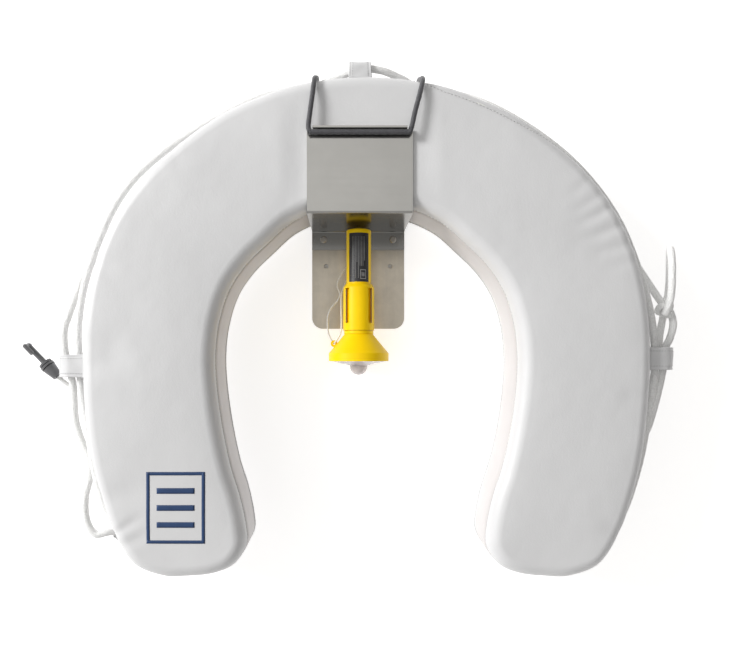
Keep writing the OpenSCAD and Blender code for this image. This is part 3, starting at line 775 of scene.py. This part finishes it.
def thick(piece, thickness):
    solid = piece.modifiers.new("cloth", "SOLIDIFY")
    solid.thickness = thickness
    solid.offset = -1
    solid.use_rim = True


COVER_T = 0.001
front_cover = link("cover_front_panel", cup_mesh("cover_front_panel", FRONT_SEAM),
                   "buoy", vinyl, ("cover_front",))
rear_cover = link("cover_rear_panel", cup_mesh("cover_rear_panel", REAR_SEAM, True),
                  "buoy", vinyl, ("cover_rear",))
MIDDLE_RIGHT = ALONG + ACROSS // 2
MIDDLE_LEFT = 2 * ALONG + ACROSS + ACROSS // 2
outer_strip = link("gusset_outer_strip", gusset_mesh("gusset_outer_strip", MIDDLE_LEFT, COUNT + MIDDLE_RIGHT),
                   "buoy", vinyl, ("outer_gusset",))
# The inner wall strip has a darker, warmer copy of the cover's vinyl: painted shade of the horseshoe's inner
# walls.
inner_strip = link("gusset_inner_strip", gusset_mesh("gusset_inner_strip", MIDDLE_RIGHT, MIDDLE_LEFT), "buoy",
                   white_vinyl("inner_gusset_shaded_vinyl", (0.585, 0.56, 0.555)), ("inner_gusset",))
for piece in (front_cover, rear_cover, outer_strip, inner_strip):
    thick(piece, COVER_T)
# The thread's grey tone is partly its own colour and partly painted shade of the stitch holes.
thread = moulded("thread", (0.42, 0.42, 0.42), 0.6, 0.0002)
cover_rows = [seam_row(FRONT_SEAM, False), seam_row(REAR_SEAM, True)]
link("cover_stitches", stitch_mesh("cover_stitches", cover_rows), "buoy", thread)


# ---- Fabric loops for the ropes, and the sleeves that hold the ropes' ends ----

TAB_PLANE = -72.0
TAB_W = 25.0
TAB_R = 16.25  # middle of the strip round its bend
TAB_FOOT = 4.5


def tab_section(reach):
    """Middle line of the looped strip: distance off the cover, and y from the tab's plane."""
    straight = reach - TAB_R - 0.75
    bend = np.linspace(-math.pi / 2, math.pi / 2, 25)
    points = [(0.8, -TAB_R - TAB_FOOT), (0.8, -TAB_R - 1.6), (1.3, -TAB_R - 0.5), (2.6, -TAB_R)]
    points += [(straight * k / 8, -TAB_R) for k in range(3, 8) if straight * k / 8 > 3.2]
    points += [(straight + TAB_R * math.cos(a), TAB_R * math.sin(a)) for a in bend]
    points += [(u, -y) for u, y in reversed(points[: len(points) - len(bend)])]
    return resampled(np.array(points), 96)


def fabric_tab(name, node, at, out, wide, reach, crease):
    """Strip of coated fabric sewn on by its two feet, with hems, soft creases and rows of stitches."""
    line = tab_section(reach)
    tangent = np.gradient(line, axis=0)
    tangent /= np.linalg.norm(tangent, axis=1)[:, None]
    section_normal = np.column_stack([tangent[:, 1], -tangent[:, 0]])
    out, wide, back = np.array(out, float), np.array(wide, float), np.array((0.0, 1.0, 0.0))
    across = np.linspace(-1, 1, 25)
    share = np.linspace(0, 1, len(line))[:, None]
    w = across[None, :]
    dent = 0.30 * np.sin(9 * share + 2.2 * w + crease) + 0.16 * np.sin(23 * share - 3.1 * w + 2 * crease)
    dent = dent * np.clip(np.minimum(share, 1 - share) * 12, 0, 1)
    dent = dent - 0.35 * np.exp(-((np.abs(w) - 0.8) / 0.08) ** 2)
    half_wide = TAB_W / 2 - 0.5 * np.sin(math.pi * share) ** 2 + 0.18 * np.sin(17 * share + crease)
    normals = section_normal[:, 0, None] * out + section_normal[:, 1, None] * back
    base = line[:, 0, None] * out + line[:, 1, None] * back
    grid = (base[:, None] + dent[..., None] * normals[:, None] + (w * half_wide)[..., None] * wide
            + np.array((at[0], TAB_PLANE, at[1])))
    rows, columns = dent.shape
    faces = [(i * columns + k, i * columns + k + 1, (i + 1) * columns + k + 1, (i + 1) * columns + k)
             for i in range(rows - 1) for k in range(columns - 1)]
    mesh = mesh_from(name, on_buoy(grid.reshape(-1, 3)), faces)
    tab = link(name, mesh, "buoy", tab_vinyl, (node,))
    solid = tab.modifiers.new("cloth", "SOLIDIFY")
    solid.thickness = 0.0013
    solid.offset = 0
    lines = []
    lift = 0.65
    for k in (4, 20):
        lines.append((on_buoy(grid[6:-6, k] + lift * normals[6:-6]) / MM, normals[6:-6]))
    for i in (5, rows - 6):
        flat = np.repeat(normals[i][None], columns - 8, axis=0)
        lines.append((on_buoy(grid[i, 4:-4] + lift * flat) / MM, flat))
    stitches = stitch_mesh(name + "_stitches", lines, 3.0, 2.1, 0.3)
    link(name + "_stitches", stitches, "buoy", thread)
    return tab


fabric_tab("top_rope_tab", "tab_top", (-6.8, 533.6), (0, 0, 1), (1, 0, 0), 25.0, 0.4)
fabric_tab("left_rope_tab", "tab_left", (-305.6, 222.0), (-1, 0, 0), (0, 0, 1), 34.0, 1.3)
fabric_tab("right_rope_tab", "tab_right", (305.6, 230.0), (1, 0, 0), (0, 0, 1), 34.0, 2.6)


def sleeve_mesh(name, ends):
    """Short gathered fabric sleeves, closed behind the rope; ends has (start, next point, rope diameter)."""
    verts, faces = [], []
    sides, rings = 28, 20
    for start, following, diameter in ends:
        start, following = np.array(start, float), np.array(following, float)
        axis = (following - start) / np.linalg.norm(following - start)
        path = start + axis * np.linspace(-2.0, 22.0, rings)[:, None]
        _, normals, binormals = carried_frames(path)
        outer, inner = diameter / 2 + 1.7, diameter / 2 + 0.35
        loops = []
        for i in range(rings):
            t = i / (rings - 1)
            groove = 0.35 * math.exp(-((t - 0.86) / 0.05) ** 2)
            loops.append((path[i], [outer - 0.12 + 0.12 * math.sin(7 * a + 5 * t) - groove
                                    for a in np.linspace(0, 2 * math.pi, sides, endpoint=False)]))
        loops.append((path[-1] + axis * 0.3, [(outer + inner) / 2] * sides))
        loops += [(path[i], [inner] * sides) for i in (rings - 1, 2)]
        base = len(verts)
        for (centre, radii), k in zip(loops, list(range(rings)) + [rings - 1, rings - 1, 2]):
            for c, r in enumerate(radii):
                angle = 2 * math.pi * c / sides
                verts.append(centre + r * (math.cos(angle) * normals[k] + math.sin(angle) * binormals[k]))
        for i in range(len(loops) - 1):
            for c in range(sides):
                a, b = base + i * sides + c, base + i * sides + (c + 1) % sides
                faces.append((a, b, b + sides, a + sides))
        faces.append(tuple(base + c for c in reversed(range(sides))))
        faces.append(tuple(base + (len(loops) - 1) * sides + c for c in range(sides)))
    return mesh_from(name, on_buoy(verts), faces)


SLEEVE_ENDS = [(route[a], route[b], ROPE_D) for route in (GRAB_ROUTE, CLOSING_ROUTE, EYE_ROUTE)
               for a, b in ((0, 1), (-1, -2))]
SLEEVE_ENDS.append((HOOK_ROUTE[0], HOOK_ROUTE[1], 5.0))
link("rope_end_sleeves", sleeve_mesh("rope_end_sleeves", SLEEVE_ENDS),
     "buoy", tab_vinyl, ("rope_sleeves",))


# ---- Printed name panel, laid on the bulging face ----

PANEL_AT = (-202.5, 72.0)
PANEL_SIZE = (62.0, 76.0)
PANEL_LINE = 3.5
PANEL_BARS = ((40, 18), (40, 0), (40, -18))


def name_panel():
    """The blank frame and its three bars, pressed on the cover's face."""
    cover = front_cover.data
    tree = BVHTree.FromPolygons([v.co for v in cover.vertices], [p.vertices for p in cover.polygons])
    w, h = PANEL_SIZE
    bars = [(-w / 2, w / 2, h / 2 - PANEL_LINE, h / 2), (-w / 2, w / 2, -h / 2, -h / 2 + PANEL_LINE),
            (-w / 2, -w / 2 + PANEL_LINE, -h / 2, h / 2), (w / 2 - PANEL_LINE, w / 2, -h / 2, h / 2)]
    bars += [(-length / 2, length / 2, z - 3, z + 3) for length, z in PANEL_BARS]
    verts, faces = [], []
    for x0, x1, z0, z1 in bars:
        nx, nz = max(1, round((x1 - x0) / 2)), max(1, round((z1 - z0) / 2))
        start = len(verts)
        for i in range(nx + 1):
            for k in range(nz + 1):
                x = PANEL_AT[0] + x0 + (x1 - x0) * i / nx
                z = PANEL_AT[1] + z0 + (z1 - z0) * k / nz
                origin = Vector(on_buoy([(x, -140, z)])[0])
                hit = tree.ray_cast(origin, Vector((0, 1, 0)))[0]
                verts.append(hit + Vector((0, -0.00018, 0)))
        for i in range(nx):
            for k in range(nz):
                a = start + i * (nz + 1) + k
                faces.append((a, a + 1, a + nz + 2, a + nz + 1))
    print_piece = link("name_print", mesh_from("name_print", verts, faces), "buoy",
                       moulded("navy_print", (0.008, 0.035, 0.11), 0.45), ("name_panel",))
    thick(print_piece, 0.00012)


name_panel()


# ---- Printed lines on the light's label: plain bars and a small box ----

LABEL_R = 14.5
LABEL_LOW, LABEL_HIGH = 318.0, 374.0
LABEL_LINES = ((-31, 6), (-24, 14), (-17, 4), (-10, 22), (-3, 4), (4, 18), (11, 18), (18, 18), (25, 24))


def label_print():
    """Thin bars on the label's round face; each is angle range in degrees from the front and height range."""
    bars = [(angle, angle + 2.2, LABEL_LOW + low, LABEL_HIGH - 4.0) for angle, low in LABEL_LINES]
    box = (6.0, 34.0, LABEL_LOW + 3.0, LABEL_LOW + 14.0)
    bars += [(box[0], box[1], box[2], box[2] + 1), (box[0], box[1], box[3] - 1, box[3]),
             (box[0], box[0] + 3, box[2], box[3]), (box[1] - 3, box[1], box[2], box[3]),
             (13.0, 17.0, box[2] + 3, box[3] - 3), (21.0, 26.0, box[2] + 3, box[3] - 3)]
    verts, faces = [], []
    for a0, a1, z0, z1 in bars:
        columns = max(1, round((a1 - a0) / 2))
        start = len(verts)
        for k in range(columns + 1):
            angle = math.radians(-90 + a0 + (a1 - a0) * k / columns)
            for z in (z0, z1):
                verts.append(((LABEL_R + 0.04) * math.cos(angle), (LABEL_R + 0.04) * math.sin(angle), z))
        for k in range(columns):
            a = start + 2 * k
            faces.append((a, a + 2, a + 3, a + 1))
    print_piece = link("label_print", mesh_from("label_print", on_light(verts), faces), "light",
                       moulded("white_print", (0.24, 0.24, 0.24), 0.5))
    thick(print_piece, 0.00003)


label_print()


# ---- Backdrop and light ----

BACKDROP_Y = 0.0012  # just behind the bracket's rear face
SCREW_X, SCREW_Z = 0.039, 0.06  # the plate's wall screw holes, either side of the origin
# The squares round the screw holes don't glow, so the holes look dark: painted shadow behind the plate.
SHADE_SQUARE_HALF = 0.007  # half the square round each of them that doesn't glow
UNSEEN_ROOM = (0.6, 0.6, 0.6, 1.0)  # plain grey that the camera sees past the backdrop


def backdrop():
    """Pale paper facing the camera; it is clear from behind, so that it doesn't hide the object there."""
    size = 6.0
    corners = [(-size, BACKDROP_Y, -size), (size, BACKDROP_Y, -size), (size, BACKDROP_Y, size),
               (-size, BACKDROP_Y, size)]
    mesh = mesh_from("backdrop", corners, [(0, 1, 2, 3)])
    wall = bpy.data.objects.new("backdrop", mesh)
    bpy.context.collection.objects.link(wall)
    paper = Nodes("backdrop_paper", (0.75, 0.75, 0.75), 0.9)
    paper.set(**{"Emission Color": (1.0, 0.99, 0.98, 1.0)})
    # Painted shadow: the paper glows everywhere except in a square round each of the plate's wall screw holes.
    split = paper.add("ShaderNodeSeparateXYZ")
    paper.join(paper.coordinates, split.inputs["Vector"])
    across = paper.math("SUBTRACT", paper.math("ABSOLUTE", split.outputs["X"], 0.0), SCREW_X)
    up = paper.math("SUBTRACT", paper.math("ABSOLUTE", split.outputs["Z"], 0.0), SCREW_Z)
    off = paper.math("MAXIMUM", paper.math("ABSOLUTE", across, 0.0), paper.math("ABSOLUTE", up, 0.0))
    glows_outside_squares = paper.math("GREATER_THAN", off, SHADE_SQUARE_HALF)
    paper.join(paper.span(glows_outside_squares, 0.0, 0.6), paper.shader.inputs["Emission Strength"])
    paper.bump((paper.noise(300.0, 2.0), 0.00005))
    one_sided = paper.add("ShaderNodeMixShader")
    paper.join(paper.add("ShaderNodeNewGeometry").outputs["Backfacing"], one_sided.inputs[0])
    paper.join(paper.shader.outputs["BSDF"], one_sided.inputs[1])
    paper.join(paper.add("ShaderNodeBsdfTransparent").outputs["BSDF"], one_sided.inputs[2])
    paper.join(one_sided.outputs["Shader"], paper.tree.nodes["Material Output"].inputs["Surface"])
    mesh.materials.append(paper.material)


def area_light(name, place, target, size, power, tint=(1, 1, 1)):
    data = bpy.data.lights.new(name, "AREA")
    data.shape = "DISK"
    data.size = size
    data.energy = power
    data.color = tint
    lamp = bpy.data.objects.new(name, data)
    lamp.location = place
    lamp.rotation_euler = (Vector(target) - Vector(place)).to_track_quat("-Z", "Y").to_euler()
    bpy.context.collection.objects.link(lamp)


def studio_world():
    """A room with its white side on the left and its dim, warm side on the right, which lights the object;
    the camera itself sees plain grey instead."""
    world = bpy.data.worlds.new("studio")
    world.use_nodes = True
    nodes, links = world.node_tree.nodes, world.node_tree.links
    place = nodes.new("ShaderNodeTexCoord")
    split = nodes.new("ShaderNodeSeparateXYZ")
    span = nodes.new("ShaderNodeMapRange")
    span.inputs["From Min"].default_value = -1.0
    room = nodes.new("ShaderNodeValToRGB")
    shades = [(0.0, (0.85, 0.85, 0.85)), (0.5, (0.67, 0.665, 0.655)), (1.0, (0.04, 0.034, 0.03))]
    room.color_ramp.elements.new(0.5)
    for element, (at, color) in zip(room.color_ramp.elements, shades):
        element.position = at
        element.color = (*color, 1.0)
    links.new(place.outputs["Generated"], split.inputs["Vector"])
    links.new(split.outputs["X"], span.inputs["Value"])
    links.new(span.outputs["Result"], room.inputs["Fac"])
    seen = nodes.new("ShaderNodeMixRGB")
    seen.inputs["Color2"].default_value = UNSEEN_ROOM
    links.new(nodes.new("ShaderNodeLightPath").outputs["Is Camera Ray"], seen.inputs["Fac"])
    links.new(room.outputs["Color"], seen.inputs["Color1"])
    links.new(seen.outputs["Color"], nodes["Background"].inputs["Color"])
    bpy.context.scene.world = world


backdrop()
studio_world()
area_light("key", (-4.4, -2.8, 1.7), (0, 0, -0.15), 1.7, 262, (1.0, 0.995, 0.99))
bpy.context.scene.view_settings.view_transform = "Standard"


# ---- Materials of the CAD pieces that stay ----

# The back plate's warm beige tone, warmer than the cradle's steel, is painted reflection of warm surroundings.
plate_steel = brushed_steel("plate_steel", (0.72, 0.66, 0.56), (1.0, 1.0, 0.06), 0.26, 0.5, 0.74,
                            (-0.032, -0.064, 0.6))
# Painted shade: the plate is painted darker towards the shelf above it, and the cradle darker below its shelf
# top.
cradle_steel = brushed_steel("cradle_steel", (0.65, 0.64, 0.61), (0.05, 1.0, 1.0), 0.14, 0.24, 0.93,
                             (-0.0172, -0.0155, 0.42))
screw_steel = plain_metal("screw_steel", (0.62, 0.6, 0.56), 0.22)
# The cradle's screw heads get a darker steel: painted shade of their recesses.
shaded_screw_heads = plain_metal("shaded_screw_heads", (0.34, 0.32, 0.29), 0.3)
STAYING = {
    "back_plate": plate_steel, "cradle": cradle_steel, "cradle_screws": shaded_screw_heads, "cord_lugs": screw_steel,
    "lug_rivets": screw_steel, "light_clip": yellow, "clip_screws": screw_steel,
    "foam_front": moulded("foam", (0.8, 0.8, 0.76), 0.9, 0.0006), "foam_rear": None,
    "hook_ferrule": moulded("grey_plastic", (0.11, 0.11, 0.115), 0.34), "cord_hook": None,
    "light_tube": yellow, "tube_cap": yellow, "cap_seal": moulded("black_rubber", (0.02, 0.02, 0.02), 0.7),
    "light_label": moulded("black_label", (0.02, 0.02, 0.022), 0.4),
    "battery_cells": moulded("cell_sleeve", (0.05, 0.12, 0.3), 0.35), "contact_spring": screw_steel,
    "lamp_head": yellow, "head_seal": None,
    "reflector": plain_metal("reflector_chrome", (0.85, 0.85, 0.85), 0.08),
    "circuit_board": moulded("green_board", (0.02, 0.14, 0.05), 0.4), "led": clear_plastic(),
    "tilt_switch": screw_steel, "tilt_ball": plain_metal("gold_ball", (0.8, 0.58, 0.2), 0.2),
    "lens": None, "lanyard_eye": yellow,
}
SAME_AS = {"foam_rear": "foam_front", "cord_hook": "hook_ferrule", "head_seal": "cap_seal", "lens": "led"}
for node, material in STAYING.items():
    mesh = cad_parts[node].data
    mesh.materials.clear()
    mesh.materials.append(material or STAYING[SAME_AS[node]])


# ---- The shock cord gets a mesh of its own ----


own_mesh(shock_cord)
